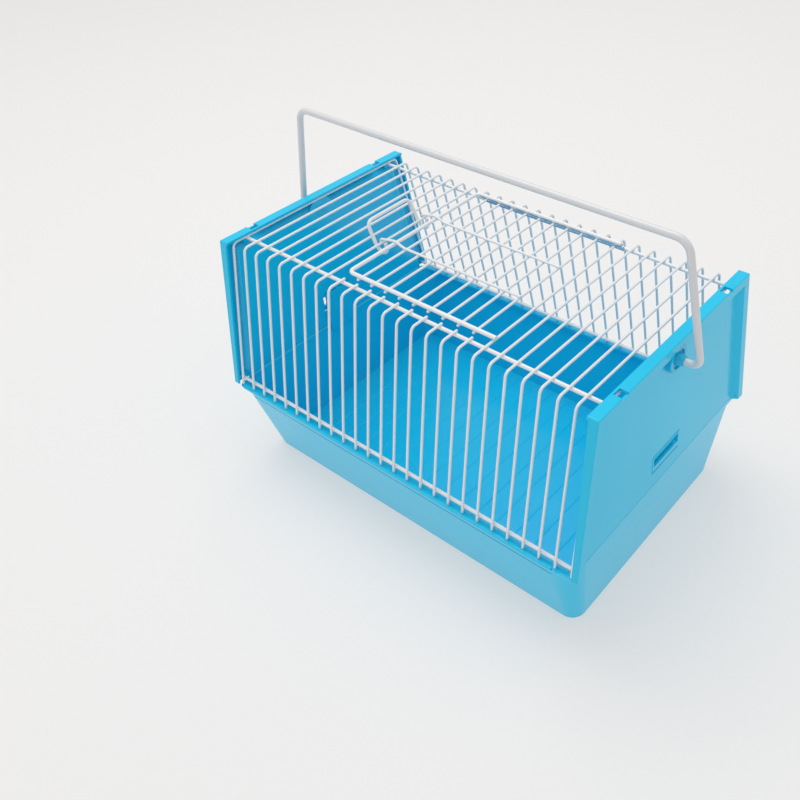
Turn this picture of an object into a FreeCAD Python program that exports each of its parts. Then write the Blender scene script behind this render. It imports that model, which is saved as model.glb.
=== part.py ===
import FreeCAD, Part
import math
import os

V = FreeCAD.Vector
os.makedirs("parts", exist_ok=True)

# A small carrying cage. +X runs along its length, +Y to the hinge side of the roof door, +Z up.
# The origin is the middle of the tray's underside. All sizes are millimetres.

# --- bars of the cage ---
bar_pitch = 12.0            # spacing of the hoops along X
hoop_count = 26             # hoops from end to end
first_cut = 9               # first hoop cut away under the roof door
last_cut = 18               # last hoop cut away under the roof door
wire_r = 0.9                # hoops, door bars and door cross rods
rail_r = 1.25               # the four long rails
door_wire_r = 1.4           # door frame wire
latch_wire_r = 1.3          # latch bail wire
handle_r = 2.35             # carrying handle rod
weld_sink = 0.1             # how far two welded wires melt into each other
moving_gap = 0.3            # least gap between parts that move past each other
cut_past = 10.0             # how far a cutting block runs past the part it cuts

# --- cage section across its length ---
roof_z = 176.2              # centre of the roof wires
hoop_roof_half = 79.3       # half width of a hoop where side and roof lines meet
hoop_lean = 0.19            # sideways run of a hoop's side per unit of height
hoop_bend_r = 4.0           # bend between side and roof, on the wire's centre
front_rail_in = 12.3        # roof rail in front of the door, in from the hoop's corner
rear_rail_in = 7.8          # roof rail that carries the hinge strip, likewise
cut_tip_past = 1.2          # how far a cut hoop runs past its rail
foot_rail_rise = 3.5        # foot rail's centre above the hoop tips

# --- tray ---
tray_foot_in_x = 5.6        # underside's end, in from the last hoop's centre
tray_foot_in_y = 16.2       # underside's side, in from the rim
tray_foot_corner_r = 10.0
tray_foot_bevel = 1.6
tray_floor = 2.2
tray_wall = 2.1
tray_rim_z = 64.6           # ledge that the hoop tips stand over
rim_past_wire = 1.9         # rim beyond the hoops' outer side at the height of the ledge
tray_rim_corner_r = 4.0     # corners of the ledge
tray_neck_corner_r = 16.0   # corners of the wall just under the ledge
tray_end_rise = 3.6         # top of the end walls above the ledge
ledge_wide = 6.3            # rim to the ledge's inner edge
ledge_thick = 2.0
lip_end_in = 13.0           # raised lip's end, in from the last hoop's centre
lip_rise = 1.2
lip_thick = 1.6
edge_bevel = 0.4            # bevel on the lips' and end walls' top edges
end_wall_bevel = 0.9        # bevel on the end walls' inner top edge
groove_drop = 4.4           # groove line below the ledge
groove_high = 1.1
groove_deep = 0.7
rib_count = 15              # low ribs moulded across the floor
rib_end_in = 25.4           # outermost rib, in from the underside's end
rib_r = 0.875               # the ribs are low caps of this radius
rib_high = 0.35
tongue_half = 13.5          # snap tongue standing behind each end panel's window
tongue_thick = 1.7
tongue_over = 2.5           # tongue top above the window's lower edge and the ridge
ridge_proud = 0.7
ridge_high = 2.6
tongue_rib_half = 1.4

# --- end panels ---
panel_out = 6.2             # border face beyond the last hoop's centre
panel_wall = 1.6
panel_over_roof = 3.0       # panel top above the roof wires' centre
panel_past_hoop = 6.5       # panel side beyond the hoop's corner, at the roof wires
panel_past_rim = 0.4        # panel side beyond the tray's rim, at the ledge
panel_corner_r = 1.0
panel_edge_r = 0.6
border = 6.5                # flat border round the recessed face
recess = 4.2                # depth of the recessed face
flange_top = 7.6            # depth of the inward flange along the roof
flange_side = 6.4           # depth of the side flanges just under the roof
flange_foot = 4.2           # depth of the side flanges at the foot
corner_leg = 4.5            # length along Y of the panel's foot at each corner
corner_slope = 11.0         # run along Y over which the foot rises to the end wall's top
window_half = 14.8
window_rise = 17.8          # snap window above the tray's end wall
window_tall = 7.7
lip_bar = 1.3
lip_proud = 0.3
slit_drop = 4.1             # slit below the window
slit_tall = 1.6
notch_in = 19.6             # windows in the top flange, in from the hoop's corner
notch_wide = 6.4
notch_inner_x = 6.0         # window's inner edge, in from the border face
notch_step = 1.5            # depth of the cut that carries the window over the panel's edge
socket_wide = 6.4
socket_deep = 3.2
socket_wall = 1.5           # socket block below or above the rail's surface
rail_end_gap = 1.2          # rail end short of the border wall
push_fit = 0.02             # interference of a rail in its socket

# --- handle ---
pivot_y = -0.8
pivot_drop = 10.6           # pivot axis below the roof wires
grip_y = 0.2                # the handle leans back by this much at its grip
handle_foot_out = 13.45     # handle's lower bends, beyond the panel's border face
handle_grip_in = 1.5        # grip's corners, in from the panel's border face
handle_rise = 78.85         # pivot axis to the grip's centre
handle_foot_bend = 5.0
handle_grip_bend = 10.0
bush_end_wall = 0.8         # the bush's bore stops this short of its inner end
pin_short = 0.4             # end of the handle pin, short of the bore's end
bush_r = 9.5
bush_thick = 3.7
cone_base_r = 4.6
cone_tip_r = 3.1
cone_long = 4.1
stem_r = 5.2
dish_r = 6.6                # dished ring round the cone
dish_deep = 1.2
bush_gap = 0.15
stem_fit = 0.05
key_wide = 3.0              # key slot in the rim of the disc
key_deep = 2.2
key_angle = 128.0           # from +Y towards +Z
pivot_fit = 0.06            # radial running clearance of the handle in its bushes

# --- roof door ---
door_left_gap = 11.5        # frame's left side, beyond the last full hoop on its left
door_front_gap = 6.5        # frame's front side behind the front rail
hinge_in = 3.0              # frame's rear side, the hinge pin, in front of the rear rail
door_front_past = 2.0       # frame's front end past the first full hoop on its right
door_rear_past = 4.5        # frame's rear end past that hoop
door_bend_r = 4.0
door_bar_count = 9
door_bar_first_gap = 9.1    # first bar from the frame's left side
door_bar_spread = 0.15      # door bars' pitch over the hoops' pitch
bar_stub = 1.3              # bar past the front of the frame
cross_rod_y = (-18.5, 22.5)
cross_rod_past = 1.5        # cross rod past the last bar
rod_knee_back = 8.5         # where a cross rod starts to climb over the frame
hook_gap = 0.4              # hook's clearance round the hoop

# --- hinge strip ---
strip_thick = 0.5
strip_left_gap = 5.0        # strip's left end from the frame's left side
strip_right_past = 6.0      # strip's right end past the first full hoop on its right
hinge_fit = 0.1             # cradle's clearance round the hinge pin
strip_notch_side = 0.8      # notch clearance on each side of a bar
notch_reach = 2.4           # notches run this far behind the hinge pin's axis

# --- latch bail ---
latch_leg_side = 4.3        # each leg in front of a cross rod
latch_angle = 112.0         # direction of the legs, from +X towards +Z
latch_long = 17.0           # hoop centre to the crossbar's centre, along the legs
latch_bend_r = 5.0
latch_hook_gap = 0.3        # clearance between the bail and the hoop it turns on
latch_tail_angle = 325.0    # direction of the tails under the hoop
latch_tail_run = 6.2        # straight run of a tail to its hairpin
hairpin_wide = 4.0


# --- values worked out from the sizes above ---
def hoop_x(i):
    return (i - (hoop_count + 1) / 2.0) * bar_pitch


def hoop_side_y(z):
    return hoop_roof_half + (roof_z - z) * hoop_lean


front_rail_y = front_rail_in - hoop_roof_half
rear_rail_y = hoop_roof_half - rear_rail_in
tray_rim_half_y = hoop_side_y(tray_rim_z) + wire_r + rim_past_wire
tray_foot_half_x = hoop_x(hoop_count) - tray_foot_in_x
tray_foot_half_y = tray_rim_half_y - tray_foot_in_y
ledge_half_y = tray_rim_half_y - ledge_wide
lip_half_x = hoop_x(hoop_count) - lip_end_in
rib_pitch = 2 * (tray_foot_half_x - rib_end_in) / (rib_count - 1)
tray_end_z = tray_rim_z + tray_end_rise
hoop_tip_z = tray_rim_z + moving_gap + wire_r * hoop_lean + 0.05
roof_rail_z = roof_z - wire_r - rail_r + weld_sink
foot_rail_z = hoop_tip_z + foot_rail_rise
side_cos = 1.0 / math.sqrt(1.0 + hoop_lean * hoop_lean)
panel_roof_half = hoop_roof_half + panel_past_hoop
panel_lean = (tray_rim_half_y + panel_past_rim - panel_roof_half) / (roof_z - tray_rim_z)
panel_cos = 1.0 / math.sqrt(1.0 + panel_lean * panel_lean)
foot_rail_y = hoop_side_y(foot_rail_z) - (wire_r + rail_r - weld_sink) / side_cos
border_x = hoop_x(hoop_count) + panel_out
face_x = border_x - recess
face_in_x = face_x - panel_wall
border_in_x = border_x - panel_wall
rail_half = border_in_x - rail_end_gap
panel_top_z = roof_z + panel_over_roof
panel_mid_z = tray_end_z + moving_gap
panel_foot_z = tray_rim_z + moving_gap + 0.1
window_low = tray_end_z + window_rise
window_high = window_low + window_tall
slit_high = window_low - slit_drop
slit_low = slit_high - slit_tall
notch_at_y = hoop_roof_half - notch_in
pivot_z = roof_z - pivot_drop
handle_foot_half = border_x + handle_foot_out
handle_grip_half = border_x - handle_grip_in
latch_hoop_x = hoop_x(first_cut - 1)
far_hoop_x = hoop_x(last_cut + 1)
door_left_x = latch_hoop_x + door_left_gap
door_front_end_x = far_hoop_x + door_front_past
door_rear_end_x = far_hoop_x + door_rear_past
door_front_y = front_rail_y + door_front_gap
hinge_y = rear_rail_y - hinge_in
door_bar_first_x = door_left_x + door_bar_first_gap
door_bar_pitch = bar_pitch + door_bar_spread
strip_left_x = door_left_x + strip_left_gap
strip_right_x = far_hoop_x + strip_right_past
door_z = roof_z + wire_r + moving_gap + door_wire_r
door_bar_z = door_z - door_wire_r - wire_r + weld_sink
cross_rod_z = door_bar_z + 2 * wire_r - weld_sink
rod_over_frame_z = door_z + door_wire_r + wire_r - weld_sink
last_bar_x = door_bar_first_x + (door_bar_count - 1) * door_bar_pitch
latch_leg_y = [y - latch_leg_side for y in cross_rod_y]


def panel_side_y(z):
    return panel_roof_half + (roof_z - z) * panel_lean


# half lengths of the raised part of a tray end wall, which fills the arch in the panel's foot
arch_half = panel_side_y(panel_foot_z) - corner_leg
end_wall_foot_half = arch_half - 2 * moving_gap
end_wall_top_half = end_wall_foot_half - corner_slope


# --- general helpers ---
def save(shape, node):
    if not shape.isValid():
        raise ValueError("invalid solid in " + node)
    shape.exportStep("parts/" + node + ".step")


def box(x0, x1, y0, y1, z0, z1):
    return Part.makeBox(x1 - x0, y1 - y0, z1 - z0, V(x0, y0, z0))


def bent_path(points, bends):
    """A wire through the points, with the corner at point k+1 rounded to radius bends[k]."""
    edges = []
    here = points[0]
    for k in range(1, len(points) - 1):
        corner = points[k]
        back = (points[k - 1] - corner).normalize()
        ahead = (points[k + 1] - corner).normalize()
        half = back.getAngle(ahead) / 2.0
        run = bends[k - 1] / math.tan(half)
        start = corner + back * run
        stop = corner + ahead * run
        middle_dir = (back + ahead).normalize()
        centre = corner + middle_dir * (bends[k - 1] / math.sin(half))
        middle = centre - middle_dir * bends[k - 1]
        edges.append(Part.makeLine(here, start))
        edges.append(Part.Arc(start, middle, stop).toShape())
        here = stop
    edges.append(Part.makeLine(here, points[-1]))
    return Part.Wire(edges)


def bent_rod(points, bends, radius):
    """A round rod bent along the points."""
    path = bent_path(points, bends)
    along = points[1] - points[0]
    ring = Part.Wire([Part.makeCircle(radius, points[0], along)])
    return path.makePipeShell([ring], True, False)


def straight_rod(start, stop, radius):
    along = stop - start
    return Part.makeCylinder(radius, along.Length, start, along)


def rounded_rect(half_x, half_y, corner_r, z):
    """A closed rounded rectangle at height z."""
    a = half_x - corner_r
    b = half_y - corner_r
    c = corner_r * math.sqrt(0.5)
    edges = [
        Part.makeLine(V(-a, -half_y, z), V(a, -half_y, z)),
        Part.Arc(V(a, -half_y, z), V(a + c, -b - c, z), V(half_x, -b, z)).toShape(),
        Part.makeLine(V(half_x, -b, z), V(half_x, b, z)),
        Part.Arc(V(half_x, b, z), V(a + c, b + c, z), V(a, half_y, z)).toShape(),
        Part.makeLine(V(a, half_y, z), V(-a, half_y, z)),
        Part.Arc(V(-a, half_y, z), V(-a - c, b + c, z), V(-half_x, b, z)).toShape(),
        Part.makeLine(V(-half_x, b, z), V(-half_x, -b, z)),
        Part.Arc(V(-half_x, -b, z), V(-a - c, -b - c, z), V(-a, -half_y, z)).toShape(),
    ]
    return Part.Wire(edges)


def loft(wires):
    return Part.makeLoft(wires, True, True)


def prism(points, x_run):
    return Part.Face(Part.makePolygon(points + points[:1])).extrude(V(x_run, 0, 0))


def both_ends(shape):
    """The shape and its mirror image across the YZ plane."""
    return [shape, shape.mirror(V(0, 0, 0), V(1, 0, 0))]


def front_and_rear(shape):
    """The shape and its mirror image across the XZ plane."""
    return [shape, shape.mirror(V(0, 0, 0), V(0, 1, 0))]


# --- tray ---
def tray_half_x(z):
    return tray_foot_half_x + (face_x - tray_foot_half_x) * z / tray_end_z


def tray_half_y(z):
    return tray_foot_half_y + (tray_rim_half_y - tray_foot_half_y) * z / tray_rim_z


def tray_corner(z):
    return tray_foot_corner_r + (tray_neck_corner_r - tray_foot_corner_r) * z / tray_rim_z


def tray_outline(z, inset):
    return rounded_rect(tray_half_x(z) - inset, tray_half_y(z) - inset, tray_corner(z) - inset / 2.0, z)


def ledge_outline(z):
    return rounded_rect(tray_half_x(z), tray_half_y(z), tray_rim_corner_r, z)


def snap_tongue():
    """Upright tongue inside one end wall, with a centre rib and a ridge that faces the window."""
    outer_x = face_in_x - moving_gap - ridge_proud
    inner_x = outer_x - tongue_thick
    top_z = window_high + tongue_over
    low_z = tray_rim_z - ledge_thick
    tongue = box(inner_x, outer_x, -tongue_half, tongue_half, low_z, top_z)
    root = box(inner_x, tray_half_x(low_z) - tray_wall / 2.0, -tongue_half, tongue_half, low_z, tray_rim_z)
    ridge_x = outer_x + ridge_proud
    ridge = box(outer_x, ridge_x, -tongue_half, tongue_half, window_low, window_low + ridge_high)
    rib = box(outer_x, outer_x + ridge_proud, -tongue_rib_half, tongue_rib_half, panel_mid_z, top_z)
    return tongue.fuse([root, ridge, rib])


def front_lip():
    """Raised lip along the front edge, with bevelled top edges."""
    outer = -tray_rim_half_y
    inner = outer + lip_thick
    low = tray_rim_z - 0.5
    top = tray_rim_z + lip_rise
    section = [
        V(-lip_half_x, outer, low),
        V(-lip_half_x, inner, low),
        V(-lip_half_x, inner, top - edge_bevel),
        V(-lip_half_x, inner - edge_bevel, top),
        V(-lip_half_x, outer + edge_bevel, top),
        V(-lip_half_x, outer, top - edge_bevel),
    ]
    return prism(section, 2 * lip_half_x)


def right_end_wall(mouth_x):
    """Raised end wall; its ends slope down under the panel's two feet."""
    foot_z = tray_rim_z - ledge_thick
    section = [
        V(tray_half_x(foot_z), -arch_half, foot_z),
        V(tray_half_x(tray_end_z - edge_bevel), -arch_half, tray_end_z - edge_bevel),
        V(tray_half_x(tray_end_z) - edge_bevel, -arch_half, tray_end_z),
        V(mouth_x + end_wall_bevel, -arch_half, tray_end_z),
        V(mouth_x, -arch_half, tray_end_z - end_wall_bevel),
        V(mouth_x, -arch_half, foot_z),
    ]
    wall = Part.Face(Part.makePolygon(section + section[:1])).extrude(V(0, 2 * arch_half, 0))
    start_x = mouth_x - 1.0
    side_view = [
        V(start_x, -end_wall_foot_half, foot_z - 1.0),
        V(start_x, end_wall_foot_half, foot_z - 1.0),
        V(start_x, end_wall_foot_half, tray_rim_z),
        V(start_x, end_wall_top_half, tray_end_z),
        V(start_x, -end_wall_top_half, tray_end_z),
        V(start_x, -end_wall_foot_half, tray_rim_z),
    ]
    return wall.common(prism(side_view, cut_past))


def front_groove():
    """Cutting block of the groove line under the front ledge."""
    top = tray_rim_z - groove_drop
    depth_y = -tray_half_y(top) + groove_deep
    return box(-lip_half_x, lip_half_x, depth_y - cut_past, depth_y, top - groove_high, top)


def floor_ribs():
    """Low half-round ribs across the floor."""
    run = tray_half_y(tray_floor) - tray_wall - tray_foot_corner_r / 2.0
    centre_z = tray_floor + rib_high - rib_r
    ribs = []
    for k in range(rib_count):
        x = (k - (rib_count - 1) / 2.0) * rib_pitch
        ribs.append(straight_rod(V(x, -run, centre_z), V(x, run, centre_z), rib_r))
    return ribs


def make_tray():
    """Moulded tray: sloping walls, ledge and lip for the hoops, raised end walls."""
    bevel_z = tray_foot_bevel
    foot = rounded_rect(tray_foot_half_x - bevel_z, tray_foot_half_y - bevel_z,
                        tray_foot_corner_r - bevel_z, 0.0)
    outer = loft([foot, tray_outline(bevel_z, 0.0)])
    outer = outer.fuse(loft([tray_outline(bevel_z, 0.0), tray_outline(tray_rim_z, 0.0)]))
    under_ledge_z = tray_rim_z - ledge_thick
    outer = outer.fuse(loft([ledge_outline(under_ledge_z), ledge_outline(tray_rim_z)]))
    hollow = loft([tray_outline(tray_floor, tray_wall), tray_outline(under_ledge_z, tray_wall)])
    mouth_x = tray_half_x(under_ledge_z) - tray_wall
    mouth = rounded_rect(mouth_x, ledge_half_y, tray_neck_corner_r / 2.0, under_ledge_z - 0.01)
    mouth_solid = Part.Face(mouth).extrude(V(0, 0, ledge_thick + 1.0))
    tray = outer.cut([hollow, mouth_solid])
    lips = front_and_rear(front_lip())
    walls = both_ends(right_end_wall(mouth_x))
    tray = tray.fuse(lips + walls + both_ends(snap_tongue()))
    tray = tray.cut(front_and_rear(front_groove()))
    return tray.fuse(floor_ribs()).removeSplitter()


# --- end panels ---
def panel_outline(inset, x, foot_drop):
    """The panel's outline in the plane at x, inset all round; foot_drop lowers its open foot."""
    top = panel_top_z - inset
    foot = panel_foot_z - foot_drop
    side = inset / panel_cos
    yt = panel_side_y(top) - side
    yf = panel_side_y(foot) - side
    return [V(x, -yf, foot), V(x, yf, foot), V(x, yt, top), V(x, -yt, top)]


def panel_blank():
    """Outer block of the panel, with rounded corners and edges."""
    blank = prism(panel_outline(0.0, border_x - flange_top, 0.0), flange_top)
    long_edges = [e for e in blank.Edges if abs(e.Vertexes[0].X - e.Vertexes[-1].X) > flange_top / 2.0]
    blank = blank.makeFillet(panel_corner_r, long_edges)
    rim = [e for e in blank.Edges if min(v.X for v in e.Vertexes) > border_x - 0.01]
    return blank.makeFillet(panel_edge_r, rim)


def panel_recess(shift):
    """Tapered block that fills the recessed face, moved inwards by shift."""
    taper_start = 0.5
    wide = panel_outline(border - taper_start, border_x - shift + taper_start, cut_past)
    deep = panel_outline(border + recess, face_x - shift, cut_past)
    return loft([Part.makePolygon(wide + wide[:1]), Part.makePolygon(deep + deep[:1])])


def rail_socket(rail_y, rail_z, up):
    """Slotted block that the end of a rail drops into. up is +1 where the slot is open upwards."""
    start = border_in_x - socket_deep
    half = socket_wide / 2.0
    reach = rail_r + socket_wall
    bore_r = rail_r - push_fit
    low_y = rail_y - half
    if up > 0:
        block = box(start, border_x - 1.2, low_y, low_y + socket_wide, rail_z - reach, rail_z + rail_r)
        slot = box(start - 1, border_in_x, rail_y - bore_r, rail_y + bore_r, rail_z, rail_z + cut_past)
    else:
        block = box(start, border_x - 1.2, low_y, low_y + socket_wide, panel_mid_z, rail_z + reach)
        slot = box(start - 1, border_in_x, rail_y - bore_r, rail_y + bore_r, rail_z - cut_past, rail_z)
    bore = Part.makeCylinder(bore_r, socket_deep + 1, V(start - 1, rail_y, rail_z), V(1, 0, 0))
    return block.cut([slot, bore])


def bush_pad():
    """Solid backing round the bush's seat, cut back where the last hoop's roof wire passes."""
    reach = bush_r + bush_gap + panel_wall
    pad = Part.makeCylinder(reach, border_x - face_in_x, V(face_in_x, pivot_y, pivot_z), V(1, 0, 0))
    hoop_room_x = hoop_x(hoop_count) + wire_r + moving_gap
    under_wire_z = roof_z - wire_r - moving_gap
    low_y = pivot_y - reach
    return pad.cut(box(face_in_x - 1, hoop_room_x, low_y, pivot_y + reach, under_wire_z, panel_top_z))


def side_flange_trim():
    """What is cut off the two side flanges, whose inner edge runs in towards the foot."""
    inner = border_x - flange_top - 1.0
    below_roof_z = panel_top_z - panel_wall - 0.4
    under_foot_z = panel_foot_z - 5.0
    half_y = panel_side_y(under_foot_z) + 1.0
    section = [
        V(inner, -half_y, below_roof_z),
        V(border_x - flange_side, -half_y, below_roof_z),
        V(border_x - flange_foot, -half_y, under_foot_z),
        V(inner, -half_y, under_foot_z),
    ]
    wedge = Part.Face(Part.makePolygon(section + section[:1])).extrude(V(0, 2 * half_y, 0))
    core_side = panel_wall / panel_cos + 0.4
    core = [
        V(inner - 1.0, -panel_side_y(under_foot_z) + core_side, under_foot_z - 1.0),
        V(inner - 1.0, panel_side_y(under_foot_z) - core_side, under_foot_z - 1.0),
        V(inner - 1.0, panel_side_y(panel_top_z) - core_side, panel_top_z),
        V(inner - 1.0, -panel_side_y(panel_top_z) + core_side, panel_top_z),
    ]
    return wedge.cut(prism(core, 2 * cut_past))


def foot_arch():
    """Opening in the panel's foot over the tray's raised end wall."""
    start_x = face_in_x - cut_past
    under_foot_z = panel_foot_z - 5.0
    arch = [
        V(start_x, -arch_half, under_foot_z),
        V(start_x, arch_half, under_foot_z),
        V(start_x, arch_half, panel_foot_z),
        V(start_x, arch_half - corner_slope, panel_mid_z),
        V(start_x, -arch_half + corner_slope, panel_mid_z),
        V(start_x, -arch_half, panel_foot_z),
    ]
    return prism(arch, 3 * cut_past)


def hoop_window(y):
    """Cutting blocks of one window in the top flange: the window and its shallow way out."""
    low_y = y - notch_wide / 2.0
    floor_z = panel_top_z - panel_wall - 0.5
    opening = box(border_x - notch_inner_x, border_in_x, low_y, low_y + notch_wide, floor_z, panel_top_z + 1)
    step_z = panel_top_z - notch_step
    step = box(border_in_x - 0.1, border_x + 1, low_y, low_y + notch_wide, step_z, panel_top_z + 1)
    return [opening, step]


def make_right_panel():
    """Moulded end panel: flange, flat border, recessed face, snap window and rail sockets."""
    panel = panel_blank().cut(panel_recess(0.0))
    hollow_outline = panel_outline(panel_wall, border_x - flange_top - 1.0, cut_past)
    hollow = prism(hollow_outline, flange_top + 1.0 - panel_wall)
    panel = panel.cut(hollow.cut([panel_recess(panel_wall), bush_pad()]))
    panel = panel.cut([side_flange_trim(), foot_arch()])
    # snap window, its lip, and the slit that frees the bar under it
    lip_half = window_half + lip_bar
    lip = box(face_x - 0.2, face_x + lip_proud, -lip_half, lip_half, slit_high, window_high + lip_bar)
    panel = panel.fuse(lip)
    cut_from = face_x - cut_past
    window = box(cut_from, border_x + 1, -window_half, window_half, window_low, window_high)
    slit = box(cut_from, border_x + 1, -lip_half, lip_half, slit_low, slit_high)
    # seat and hole of the handle bush, windows over the last hoop, sockets for the rails
    outward = V(1, 0, 0)
    bush_seat = Part.makeCylinder(bush_r + bush_gap, cut_past, V(face_x, pivot_y, pivot_z), outward)
    bush_hole = Part.makeCylinder(stem_r + stem_fit, 2 * cut_past, V(cut_from, pivot_y, pivot_z), outward)
    hoop_windows = hoop_window(-notch_at_y) + hoop_window(notch_at_y)
    panel = panel.cut([window, slit, bush_seat, bush_hole] + hoop_windows)
    sockets = []
    for rail_y in (front_rail_y, rear_rail_y):
        sockets.append(rail_socket(rail_y, roof_rail_z, 1))
    for rail_y in (-foot_rail_y, foot_rail_y):
        sockets.append(rail_socket(rail_y, foot_rail_z, -1))
    return panel.fuse(sockets).removeSplitter()


# --- handle and its bushes ---
def make_right_bush():
    """Moulded bush: stem through the panel, disc with a dished ring and a key slot, and a cone."""
    outward = V(1, 0, 0)
    stem = Part.makeCylinder(stem_r, face_x + 1.0 - face_in_x, V(face_in_x, pivot_y, pivot_z), outward)
    disc = Part.makeCylinder(bush_r, bush_thick, V(face_x, pivot_y, pivot_z), outward)
    rim = [e for e in disc.Edges if len(e.Vertexes) == 1 and e.Vertexes[0].X > face_x + 1]
    disc = disc.makeFillet(0.6, rim)
    disc_face_x = face_x + bush_thick
    dish = Part.makeCylinder(dish_r, dish_deep + 1, V(disc_face_x - dish_deep, pivot_y, pivot_z), outward)
    cone = Part.makeCone(cone_base_r, cone_tip_r, cone_long + dish_deep,
                         V(disc_face_x - dish_deep, pivot_y, pivot_z), outward)
    key = box(disc_face_x - key_deep, disc_face_x + 1, pivot_y + bush_r - key_deep, pivot_y + bush_r + 1,
              pivot_z - key_wide / 2.0, pivot_z + key_wide / 2.0)
    key.rotate(V(0, pivot_y, pivot_z), outward, key_angle)
    bore_start = V(face_in_x + bush_end_wall, pivot_y, pivot_z)
    bore = Part.makeCylinder(handle_r + pivot_fit, 3 * cut_past, bore_start, outward)
    return disc.cut([dish, key]).fuse([stem, cone]).cut(bore).removeSplitter()


def make_handle():
    """One bent rod: pins, legs that lean inwards, and the grip bar."""
    pin_x = face_in_x + bush_end_wall + pin_short
    grip_z = pivot_z + handle_rise
    points = [
        V(-pin_x, pivot_y, pivot_z),
        V(-handle_foot_half, pivot_y, pivot_z),
        V(-handle_grip_half, grip_y, grip_z),
        V(handle_grip_half, grip_y, grip_z),
        V(handle_foot_half, pivot_y, pivot_z),
        V(pin_x, pivot_y, pivot_z),
    ]
    bends = [handle_foot_bend, handle_grip_bend, handle_grip_bend, handle_foot_bend]
    return bent_rod(points, bends, handle_r)


# --- wires of the cage ---
def make_full_hoop(i):
    x = hoop_x(i)
    foot = hoop_side_y(hoop_tip_z)
    points = [
        V(x, -foot, hoop_tip_z),
        V(x, -hoop_roof_half, roof_z),
        V(x, hoop_roof_half, roof_z),
        V(x, foot, hoop_tip_z),
    ]
    return bent_rod(points, [hoop_bend_r, hoop_bend_r], wire_r)


def make_cut_hoop(i, side):
    """Side of a hoop that stops just past its roof rail. side is -1 in front, +1 at the rear."""
    x = hoop_x(i)
    rail_y = front_rail_y if side < 0 else rear_rail_y
    foot = hoop_side_y(hoop_tip_z)
    points = [
        V(x, rail_y - side * cut_tip_past, roof_z),
        V(x, side * hoop_roof_half, roof_z),
        V(x, side * foot, hoop_tip_z),
    ]
    return bent_rod(points, [hoop_bend_r], wire_r)


def make_rail(y, z):
    return straight_rod(V(-rail_half, y, z), V(rail_half, y, z), rail_r)


# --- roof door ---
def make_door_frame():
    """Bent wire round three sides of the door; its rear side is the hinge pin."""
    points = [
        V(door_front_end_x, door_front_y, door_z),
        V(door_left_x, door_front_y, door_z),
        V(door_left_x, hinge_y, door_z),
        V(door_rear_end_x, hinge_y, door_z),
    ]
    return bent_rod(points, [door_bend_r, door_bend_r], door_wire_r)


def door_bar_x(k):
    return door_bar_first_x + k * door_bar_pitch


def make_door_bar(k):
    x = door_bar_x(k)
    return straight_rod(V(x, door_front_y - bar_stub, door_bar_z), V(x, hinge_y + 0.4, door_bar_z), wire_r)


def make_cross_rod(y):
    """Rod over the door bars that climbs over the frame and hooks down round the next hoop."""
    reach = wire_r + wire_r + hook_gap
    top = V(door_left_x - latch_hoop_x, 0, rod_over_frame_z - roof_z)
    far = math.hypot(top.x, top.z)
    tangent = math.atan2(top.z, top.x) + math.acos(reach / far)
    middle = (tangent + math.pi) / 2.0
    stretch = reach / math.cos((math.pi - tangent) / 2.0)
    hook_x = latch_hoop_x + stretch * math.cos(middle)
    hook_z = roof_z + stretch * math.sin(middle)
    points = [
        V(last_bar_x + cross_rod_past, y, cross_rod_z),
        V(door_left_x + rod_knee_back, y, cross_rod_z),
        V(door_left_x, y, rod_over_frame_z),
        V(hook_x, y, hook_z),
        V(latch_hoop_x - reach, y, roof_z - 0.2),
    ]
    return bent_rod(points, [6.0, 4.0, reach], wire_r)


# --- hinge strip ---
def ring_sector(y, z, inner, outer, start_deg, stop_deg):
    """Part of a ring in the YZ plane at the strip's left end, angles from +Y towards +Z."""
    def at(radius, deg):
        a = math.radians(deg)
        return V(strip_left_x, y + radius * math.cos(a), z + radius * math.sin(a))
    mid = (start_deg + stop_deg) / 2.0
    edges = [
        Part.Arc(at(outer, start_deg), at(outer, mid), at(outer, stop_deg)).toShape(),
        Part.makeLine(at(outer, stop_deg), at(inner, stop_deg)),
        Part.Arc(at(inner, stop_deg), at(inner, mid), at(inner, start_deg)).toShape(),
        Part.makeLine(at(inner, start_deg), at(outer, start_deg)),
    ]
    return Part.Face(Part.Wire(edges)).extrude(V(strip_right_x - strip_left_x, 0, 0))


def make_hinge_strip():
    """Rolled steel strip: a curl under the rear rail and a cradle for the hinge pin."""
    curl_in = rail_r
    curl = ring_sector(rear_rail_y, roof_rail_z, curl_in, curl_in + strip_thick, 178.0, 375.0)
    cradle_in = door_wire_r + hinge_fit
    cradle_mid = cradle_in + strip_thick / 2.0
    web_y = rear_rail_y - curl_in - strip_thick / 2.0
    cradle_drop = math.sqrt(cradle_mid ** 2 - (web_y - hinge_y) ** 2)
    cradle_stop = 360.0 - math.degrees(math.atan2(cradle_drop, web_y - hinge_y))
    cradle = ring_sector(hinge_y, door_z, cradle_in, cradle_in + strip_thick, 176.0, cradle_stop + 4.0)
    web = box(strip_left_x, strip_right_x, web_y - strip_thick / 2.0, web_y + strip_thick / 2.0,
              roof_rail_z, door_z - cradle_drop)
    strip = curl.fuse([cradle, web])
    notch_floor = roof_z - wire_r - moving_gap
    notches = []
    for k in range(door_bar_count):
        half = wire_r + strip_notch_side
        x = door_bar_x(k)
        notches.append(box(x - half, x + half, hinge_y - cut_past, hinge_y + notch_reach, notch_floor, door_z + 5))
    half = wire_r + moving_gap
    over_wire_z = roof_z + wire_r + 0.2
    for i in range(first_cut, last_cut + 2):
        x = hoop_x(i)
        notches.append(box(x - half, x + half, hinge_y - cut_past, hinge_y + cut_past,
                           notch_floor + 0.1, over_wire_z))
    return strip.cut(notches).removeSplitter()


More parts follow.
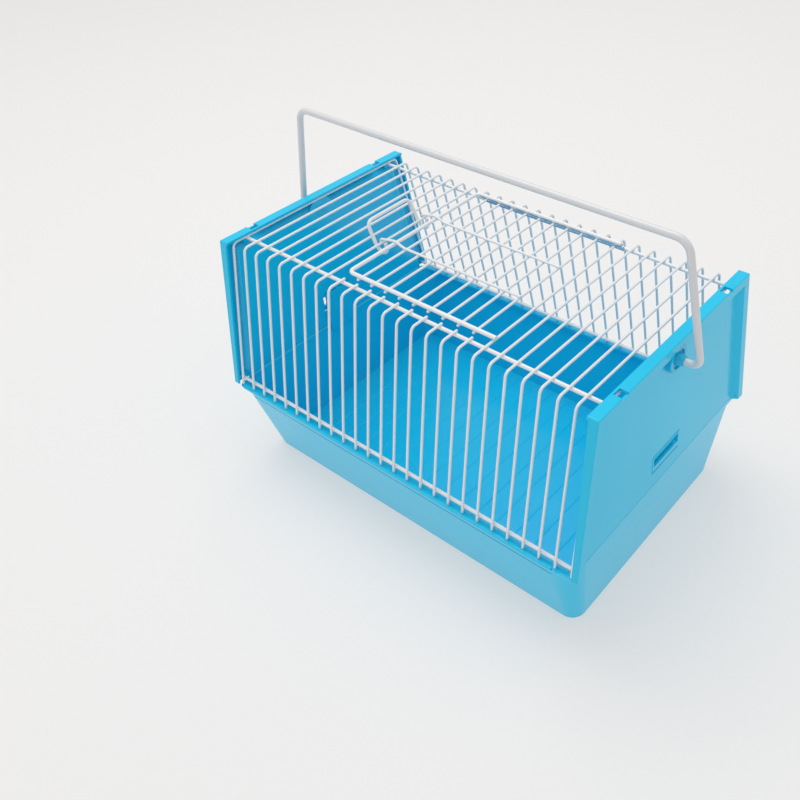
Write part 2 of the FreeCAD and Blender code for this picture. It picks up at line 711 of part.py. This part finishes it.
# --- latch bail ---
def make_latch():
    """U-shaped bail. Each leg passes under the hoop it turns on, turns back in a hairpin
    and ends beside the hoop, so the hoop is caught between the two."""
    ring = wire_r + latch_hook_gap + latch_wire_r
    leg_dir = math.radians(latch_angle)
    tail_dir = math.radians(latch_tail_angle)
    leg_touch = latch_angle + 90.0
    tail_touch = latch_tail_angle - 90.0

    def on_ring(deg, radius, y):
        a = math.radians(deg)
        return V(latch_hoop_x + radius * math.cos(a), y, roof_z + radius * math.sin(a))

    def along(start, angle, length):
        return start + V(math.cos(angle) * length, 0, math.sin(angle) * length)

    turn_r = hairpin_wide / 2.0 - 0.03
    half_wrap = math.radians((tail_touch - leg_touch) / 2.0)
    points = []
    bends = []
    for leg_y in latch_leg_y:
        top = along(on_ring(leg_touch, ring, leg_y), leg_dir, latch_long)
        elbow = on_ring((leg_touch + tail_touch) / 2.0, ring / math.cos(half_wrap), leg_y)
        turn_out = along(on_ring(tail_touch, ring, leg_y), tail_dir, latch_tail_run)
        turn_back = turn_out + V(0, hairpin_wide, 0)
        tip = on_ring(0.0, ring, leg_y + hairpin_wide)
        chain = [tip, turn_back, turn_out, elbow, top]
        chain_bends = [turn_r, turn_r, ring, latch_bend_r]
        if not points:
            points = chain
            bends = chain_bends
        else:
            points = points + list(reversed(chain))
            bends = bends + list(reversed(chain_bends))
    return bent_rod(points, bends, latch_wire_r)


# --- build every node ---
def main():
    save(make_tray(), "tray")
    panel = make_right_panel()
    bush = make_right_bush()
    save(panel, "end_panel_right")
    save(panel.mirror(V(0, 0, 0), V(1, 0, 0)), "end_panel_left")
    save(bush, "handle_bush_right")
    save(bush.mirror(V(0, 0, 0), V(1, 0, 0)), "handle_bush_left")
    for i in range(1, hoop_count + 1):
        if first_cut <= i <= last_cut:
            save(make_cut_hoop(i, -1), "hoop_front_%02d" % i)
            save(make_cut_hoop(i, 1), "hoop_rear_%02d" % i)
        else:
            save(make_full_hoop(i), "hoop_%02d" % i)
    save(make_rail(front_rail_y, roof_rail_z), "roof_rail_front")
    save(make_rail(rear_rail_y, roof_rail_z), "roof_rail_rear")
    save(make_rail(-foot_rail_y, foot_rail_z), "foot_rail_front")
    save(make_rail(foot_rail_y, foot_rail_z), "foot_rail_rear")
    save(make_hinge_strip(), "hinge_strip")
    save(make_handle(), "carry_handle")
    save(make_door_frame(), "door_frame")
    for k in range(door_bar_count):
        save(make_door_bar(k), "door_bar_%d" % (k + 1))
    for n, y in enumerate(cross_rod_y):
        save(make_cross_rod(y), "door_cross_rod_%d" % (n + 1))
    save(make_latch(), "latch_bail")


main()
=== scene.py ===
import bpy
import math
from mathutils import Matrix, Vector


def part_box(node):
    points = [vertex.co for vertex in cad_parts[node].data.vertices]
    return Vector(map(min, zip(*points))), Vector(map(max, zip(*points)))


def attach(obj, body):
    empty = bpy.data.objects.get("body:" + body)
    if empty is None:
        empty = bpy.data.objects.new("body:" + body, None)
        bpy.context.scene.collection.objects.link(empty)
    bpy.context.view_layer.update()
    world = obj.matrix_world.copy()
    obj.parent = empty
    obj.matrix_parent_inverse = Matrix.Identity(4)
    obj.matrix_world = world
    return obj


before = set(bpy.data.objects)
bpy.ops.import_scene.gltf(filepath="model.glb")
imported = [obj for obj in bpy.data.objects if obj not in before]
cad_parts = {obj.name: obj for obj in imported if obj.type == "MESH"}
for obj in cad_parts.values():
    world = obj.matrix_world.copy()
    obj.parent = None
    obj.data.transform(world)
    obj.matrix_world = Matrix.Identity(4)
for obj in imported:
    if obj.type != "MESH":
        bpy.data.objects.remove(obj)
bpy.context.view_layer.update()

# ---------------------------------------------------------------------------------------------
# TRAY
# One injection moulding in sky-blue polystyrene: a floor with shallow lines, sloping walls and a
# ledge that the wire tips stand over. It lifts away from the cage for washing.
# ---------------------------------------------------------------------------------------------


class Value:
    """What varies over a surface: a number or a colour. Sums and products of numbers add Math nodes."""

    def __init__(self, finish, socket):
        self.finish = finish
        self.socket = socket

    def maths(self, kind, first, second):
        node = self.finish.tree.nodes.new("ShaderNodeMath")
        node.operation = kind
        for slot, item in zip(node.inputs, (first, second)):
            self.finish.put(slot, item)
        return Value(self.finish, node.outputs[0])

    def __add__(self, other):
        return self.maths("ADD", self, other)

    def __radd__(self, other):
        return self.maths("ADD", other, self)

    def __mul__(self, other):
        return self.maths("MULTIPLY", self, other)

    def __rmul__(self, other):
        return self.maths("MULTIPLY", other, self)


class Finish:
    """A material being laid down: a Principled surface and the nodes that feed it."""

    def __init__(self, name, **constants):
        self.material = bpy.data.materials.new(name)
        self.material.use_nodes = True
        self.tree = self.material.node_tree
        self.surface = self.tree.nodes["Principled BSDF"]
        for socket, value in constants.items():
            self.surface.inputs[socket.replace("_", " ")].default_value = value
        self.place = self.node("ShaderNodeTexCoord").node.outputs["Object"]

    def put(self, slot, item):
        if isinstance(item, Value):
            item = item.socket
        if isinstance(item, bpy.types.NodeSocket):
            self.tree.links.new(item, slot)
        else:
            slot.default_value = item

    def node(self, kind, settings=None, sockets=None, out=0):
        """Any node: its settings first, then what its sockets hold or are fed by."""
        node = self.tree.nodes.new(kind)
        for key, value in (settings or {}).items():
            if key == "stops":
                ramp = node.color_ramp
                while len(ramp.elements) < len(value):
                    ramp.elements.new(0.5)
                for element, (spot, colour) in zip(ramp.elements, value):
                    element.position = spot
                    element.color = colour
            else:
                setattr(node, key, value)
        for key, item in (sockets or {}).items():
            self.put(node.inputs[key], item)
        value = Value(self, node.outputs[out])
        value.node = node
        return value

    def noise(self, size, detail=3.0, along=(1.0, 1.0, 1.0)):
        """Cloudy noise with blotches about size metres across, stretched by along."""
        spread = self.node("ShaderNodeMapping", None, {"Vector": self.place, "Scale": along})
        return self.node("ShaderNodeTexNoise", None,
                         {"Vector": spread.socket, "Scale": 1.0 / size, "Detail": detail})

    def blend(self, amount, low, high):
        """Colour between low and high."""
        return self.node("ShaderNodeMix", {"data_type": "RGBA"},
                         {"Factor": amount, 6: low, 7: high}, out=2)

    def feed(self, socket, item):
        self.put(self.surface.inputs[socket], item)

    def bumps(self, *layers):
        """Stacks relief layers of (height value, depth in metres) into the surface's normal."""
        below = None
        for height, depth in layers:
            sockets = {"Height": height, "Distance": depth, "Strength": 1.0}
            if below is not None:
                sockets["Normal"] = below.socket
            below = self.node("ShaderNodeBump", None, sockets)
        self.feed("Normal", below)


def coat_nodes(finish, nodes):
    """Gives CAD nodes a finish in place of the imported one."""
    for name in nodes:
        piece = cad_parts[name]
        piece.data.materials.clear()
        piece.data.materials.append(finish.material)


def moulded_blue(name, deep, pale, roughness):
    """Sky-blue moulded plastic: faint flow clouds, a fine eroded grain, and a soft gloss."""
    finish = Finish(name, IOR=1.42, Coat_Weight=0.0)
    flow = finish.noise(0.045, 2.0, (1.0, 1.0, 0.6))
    grain = finish.noise(0.0009, 2.0)
    scuffs = finish.noise(0.012, 5.0, (1.0, 1.0, 3.0))
    finish.feed("Base Color", finish.blend(flow * 0.7 + scuffs * 0.3, deep, pale))
    finish.feed("Roughness", roughness - 0.06 + 0.08 * scuffs + 0.04 * grain)
    finish.bumps((flow, 0.00025), (grain, 0.000012))
    return finish


deep_blue = (0.008, 0.570, 0.860, 1)
pale_blue = (0.012, 0.615, 0.925, 1)
tray_blue = moulded_blue("tray_moulded_blue", deep_blue, pale_blue, 0.19)
coat_nodes(tray_blue, ["tray"])

# ---------------------------------------------------------------------------------------------
# END PANELS
# Two mouldings in the same blue. Each has a flange that the last hoop runs under, a flat border,
# a recessed face, and a window that the tray's tongue snaps behind.
# ---------------------------------------------------------------------------------------------
panel_blue = moulded_blue("panel_moulded_blue", deep_blue, pale_blue, 0.17)
coat_nodes(panel_blue, ["end_panel_left", "end_panel_right"])

# ---------------------------------------------------------------------------------------------
# WIRE CAGE
# Steel wires bent to shape, spot-welded to four long rails and dipped in white coating, which
# gathers at the welds and rounds off the cut ends.
# ---------------------------------------------------------------------------------------------


def white_coating(name, tint, roughness):
    """White dip coating on wire: a slight run and sag, and thin grey where it is worn."""
    finish = Finish(name, IOR=1.5, Coat_Weight=0.35, Coat_Roughness=0.06)
    run = finish.noise(0.006, 3.0)
    speck = finish.noise(0.0012, 3.0)
    worn = finish.node("ShaderNodeValToRGB",
                       {"stops": [(0.63, (0, 0, 0, 1)), (0.74, (1, 1, 1, 1))]}, {"Fac": run})
    shade = tuple(0.96 * level for level in tint[:3]) + (1,)
    clean = finish.blend(speck, shade, tint)
    finish.feed("Base Color", finish.blend(worn * 0.15, clean.socket, (0.60, 0.62, 0.63, 1)))
    finish.feed("Roughness", roughness + 0.10 * speck)
    finish.bumps((run, 0.00006), (speck, 0.000015))
    return finish


wire_white = white_coating("cage_wire_white", (0.90, 0.905, 0.91, 1), 0.16)
cage_wires = [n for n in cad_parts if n.startswith(("hoop_", "roof_rail", "foot_rail"))]
coat_nodes(wire_white, cage_wires)


def points_mesh(name, spots):
    """An object of bare points. Each spot is (place, radius)."""
    mesh = bpy.data.meshes.new(name)
    mesh.from_pydata([place for place, _ in spots], [], [])
    size = mesh.attributes.new("radius", "FLOAT", "POINT")
    size.data.foreach_set("value", [radius for _, radius in spots])
    thing = bpy.data.objects.new(name, mesh)
    bpy.context.scene.collection.objects.link(thing)
    return thing


def bead_tree():
    """Geometry nodes: a small squashed ball at every point, as big as the point's radius."""
    tree = bpy.data.node_groups.new("coating_beads", "GeometryNodeTree")
    face = tree.interface
    face.new_socket("Points", in_out="INPUT", socket_type="NodeSocketGeometry")
    face.new_socket("Flatness", in_out="INPUT", socket_type="NodeSocketFloat")
    face.new_socket("Finish", in_out="INPUT", socket_type="NodeSocketMaterial")
    face.new_socket("Beads", in_out="OUTPUT", socket_type="NodeSocketGeometry")
    nodes = tree.nodes
    start = nodes.new("NodeGroupInput")
    stop = nodes.new("NodeGroupOutput")
    ball = nodes.new("GeometryNodeMeshUVSphere")
    ball.inputs["Segments"].default_value = 10
    ball.inputs["Rings"].default_value = 6
    ball.inputs["Radius"].default_value = 1.0
    smooth = nodes.new("GeometryNodeSetShadeSmooth")
    radius = nodes.new("GeometryNodeInputNamedAttribute")
    radius.data_type = "FLOAT"
    radius.inputs["Name"].default_value = "radius"
    high = nodes.new("ShaderNodeMath")
    high.operation = "MULTIPLY"
    scale = nodes.new("ShaderNodeCombineXYZ")
    cast = nodes.new("GeometryNodeInstanceOnPoints")
    real = nodes.new("GeometryNodeRealizeInstances")
    coat = nodes.new("GeometryNodeSetMaterial")
    link = tree.links.new
    link(ball.outputs["Mesh"], smooth.inputs["Geometry"])
    link(smooth.outputs["Geometry"], cast.inputs["Instance"])
    link(start.outputs["Points"], cast.inputs["Points"])
    link(radius.outputs["Attribute"], high.inputs[0])
    link(start.outputs["Flatness"], high.inputs[1])
    link(radius.outputs["Attribute"], scale.inputs["X"])
    link(radius.outputs["Attribute"], scale.inputs["Y"])
    link(high.outputs[0], scale.inputs["Z"])
    link(scale.outputs[0], cast.inputs["Scale"])
    link(cast.outputs["Instances"], real.inputs["Geometry"])
    link(real.outputs["Geometry"], coat.inputs["Geometry"])
    link(start.outputs["Finish"], coat.inputs["Material"])
    link(coat.outputs["Geometry"], stop.inputs["Beads"])
    return tree


coating_beads = bead_tree()


def lay_beads(name, spots, flatness, finish, body):
    """Runs the bead tree over the spots and keeps the result as a plain mesh on a body."""
    thing = points_mesh(name, spots)
    maker = thing.modifiers.new("beads", "NODES")
    maker.node_group = coating_beads
    for item in coating_beads.interface.items_tree:
        if item.name == "Flatness":
            maker[item.identifier] = flatness
        if item.name == "Finish":
            maker[item.identifier] = finish.material
    bpy.context.view_layer.update()
    seen = thing.evaluated_get(bpy.context.evaluated_depsgraph_get())
    plain = bpy.data.meshes.new_from_object(seen)
    thing.modifiers.clear()
    thing.data = plain
    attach(thing, body)
    return thing


MM = 0.001
wire_r = 0.9 * MM
rail_r = 1.25 * MM
roof_z = 176.2 * MM          # centre line of the roof wires
roof_half = 79.3 * MM        # roof wires' corners, either side of the middle
lean = 0.19                  # outward run of a side wire for each unit it falls
bar_pitch = 12.0 * MM
hoop_count = 26
cut_hoops = range(9, 19)     # the hoops cut away under the door
hoop_xs = [(i - (hoop_count + 1) / 2) * bar_pitch for i in range(1, hoop_count + 1)]
end_r = wire_r * 1.02        # coating bead on a cut end
end_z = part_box("hoop_01")[0].z + 0.2 * MM


def centre_of(node):
    """Middle of a node's box."""
    low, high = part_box(node)
    return (low + high) / 2


def side_y(z):
    """Distance of a side wire's centre from the middle, at height z."""
    return roof_half + (roof_z - z) * lean


front_rail = centre_of("roof_rail_front")
rear_rail = centre_of("roof_rail_rear")
foot_front = centre_of("foot_rail_front")
foot_rear = centre_of("foot_rail_rear")

roof_welds = []
for x in hoop_xs:
    for rail in (front_rail, rear_rail):
        roof_welds.append(((x, rail.y, roof_z - wire_r), 1.35 * MM))
lay_beads("roof_weld_beads", roof_welds, 0.7, wire_white, "cage")

foot_welds = []
for x in hoop_xs:
    for rail in (foot_front, foot_rear):
        outward = math.copysign(rail_r, rail.y)
        foot_welds.append(((x, rail.y + outward, rail.z), 1.2 * MM))
lay_beads("foot_weld_beads", foot_welds, 1.0, wire_white, "cage")

wire_ends = []
for x in hoop_xs:
    for side in (-1, 1):
        wire_ends.append(((x, side * side_y(end_z), end_z), end_r))
for i in cut_hoops:
    x = hoop_xs[i - 1]
    wire_ends.append(((x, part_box("hoop_front_%02d" % i)[1].y, roof_z), end_r))
    wire_ends.append(((x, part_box("hoop_rear_%02d" % i)[0].y, roof_z), end_r))
lay_beads("rounded_wire_ends", wire_ends, 1.0, wire_white, "cage")

# ---------------------------------------------------------------------------------------------
# HINGE STRIP
# Bright sheet steel rolled round the rear roof rail, with a cradle along its top edge that the
# rear side of the roof door turns in. It is notched where the door's bars pass.
# ---------------------------------------------------------------------------------------------
strip = Finish("hinge_strip_steel", Metallic=1.0, IOR=1.5)
draw_lines = strip.noise(0.0004, 2.0, (0.02, 1.0, 1.0))
handling = strip.noise(0.010, 4.0)
strip.feed("Base Color", strip.blend(handling, (0.62, 0.63, 0.65, 1), (0.78, 0.79, 0.81, 1)))
strip.feed("Roughness", 0.24 + 0.16 * draw_lines + 0.06 * handling)
strip.bumps((draw_lines, 0.00002))
coat_nodes(strip, ["hinge_strip"])

# ---------------------------------------------------------------------------------------------
# HANDLE AND ITS BUSHES
# A steel rod bent into a tall bow and coated white, turning in two blue moulded bushes that are
# pushed into the end panels.
# ---------------------------------------------------------------------------------------------
# Painted shade: the bushes carry the panels' own blue made darker, standing in for the shade on their
# faces.
bush_blue_painted_shade = moulded_blue("bush_moulded_blue_painted_shade", (0.006, 0.500, 0.780, 1), (0.008, 0.545, 0.840, 1), 0.18)
coat_nodes(bush_blue_painted_shade, ["handle_bush_left", "handle_bush_right"])
handle_white = white_coating("handle_rod_white", (0.76, 0.765, 0.785, 1), 0.20)
coat_nodes(handle_white, ["carry_handle"])

# ---------------------------------------------------------------------------------------------
# ROOF DOOR
# A bent frame wire round three sides, bars welded under it and two cross rods over the bars. The
# rods run on over the next hoop and hook down behind it, which keeps the door level.
# ---------------------------------------------------------------------------------------------
door_white = white_coating("door_wire_white", (0.91, 0.915, 0.92, 1), 0.16)
door_nodes = [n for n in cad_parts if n.startswith("door_")]
coat_nodes(door_white, door_nodes)

bar_boxes = [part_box("door_bar_%d" % k) for k in range(1, 10)]
frame_low, frame_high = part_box("door_frame")
frame_r = 1.4 * MM
bar_top = bar_boxes[0][1].z
front_side_y = frame_low.y + frame_r
cross_ys = [centre_of("door_cross_rod_1").y, centre_of("door_cross_rod_2").y]
door_welds = []
door_ends = []
for low, high in bar_boxes:
    x = (low.x + high.x) / 2
    door_welds.append(((x, front_side_y, bar_top), 1.3 * MM))
    for y in cross_ys:
        door_welds.append(((x, y, bar_top), 1.15 * MM))
    door_ends.append(((x, low.y, (low.z + high.z) / 2), end_r))
lay_beads("door_weld_beads", door_welds, 0.7, door_white, "door")
lay_beads("door_bar_ends", door_ends, 1.0, door_white, "door")

# ---------------------------------------------------------------------------------------------
# LATCH BAIL
# One length of coated wire bent into a finger loop. Each leg passes under a roof wire and turns
# back beside it, so the bail hangs on that wire.
# ---------------------------------------------------------------------------------------------
latch_white = white_coating("latch_wire_white", (0.88, 0.885, 0.89, 1), 0.16)
coat_nodes(latch_white, ["latch_bail"])

# ---------------------------------------------------------------------------------------------
# STUDIO
# A plain pale floor, an even pale room and one wide soft light overhead.
# ---------------------------------------------------------------------------------------------
floor_mesh = bpy.data.meshes.new("floor")
reach = 8.0
floor_mesh.from_pydata([(-reach, -reach, 0), (reach, -reach, 0), (reach, reach, 0), (-reach, reach, 0)],
                       [], [(0, 1, 2, 3)])
floor = bpy.data.objects.new("floor", floor_mesh)
bpy.context.scene.collection.objects.link(floor)
floor_finish = Finish("pale_floor", Roughness=0.7, Emission_Color=(1.0, 0.99, 0.985, 1),
                      Emission_Strength=0.465)
floor_finish.feed("Base Color", floor_finish.blend(floor_finish.noise(0.004, 4.0),
                                                   (0.40, 0.395, 0.39, 1), (0.42, 0.415, 0.41, 1)))
floor_mesh.materials.append(floor_finish.material)

room = bpy.data.worlds.new("room")
room.use_nodes = True
room.node_tree.nodes["Background"].inputs["Color"].default_value = (1.0, 1.0, 1.0, 1)
room.node_tree.nodes["Background"].inputs["Strength"].default_value = 0.62
bpy.context.scene.world = room


lamp = bpy.data.lights.new("overhead", "AREA")
lamp.shape = "SQUARE"
lamp.size = 1.2
lamp.energy = 10
overhead = bpy.data.objects.new("overhead", lamp)
overhead.location = (-0.35, 0.15, 1.5)
cage_middle = Vector((0, 0, 0.1))
overhead.rotation_euler = (cage_middle - overhead.location).to_track_quat("-Z", "Y").to_euler()
bpy.context.scene.collection.objects.link(overhead)

camera_place = Vector((0.34035, -0.37077, 0.49161))
azimuth = math.radians(38.328)
elevation = math.radians(37.157)
roll = math.radians(-1.683)
look = Vector((-math.sin(azimuth) * math.cos(elevation),
               math.cos(azimuth) * math.cos(elevation), -math.sin(elevation)))
lens = bpy.data.cameras.new("camera")
lens.lens = 40.27
lens.sensor_width = 36.0
lens.shift_x = -0.166
lens.shift_y = -0.079
lens.clip_start = 0.01
camera = bpy.data.objects.new("camera", lens)
turn = look.to_track_quat("-Z", "Y").to_matrix().to_4x4() @ Matrix.Rotation(roll, 4, "Z")
camera.matrix_world = Matrix.Translation(camera_place) @ turn
bpy.context.scene.collection.objects.link(camera)
bpy.context.scene.camera = camera
bpy.context.scene.view_settings.view_transform = "Standard"
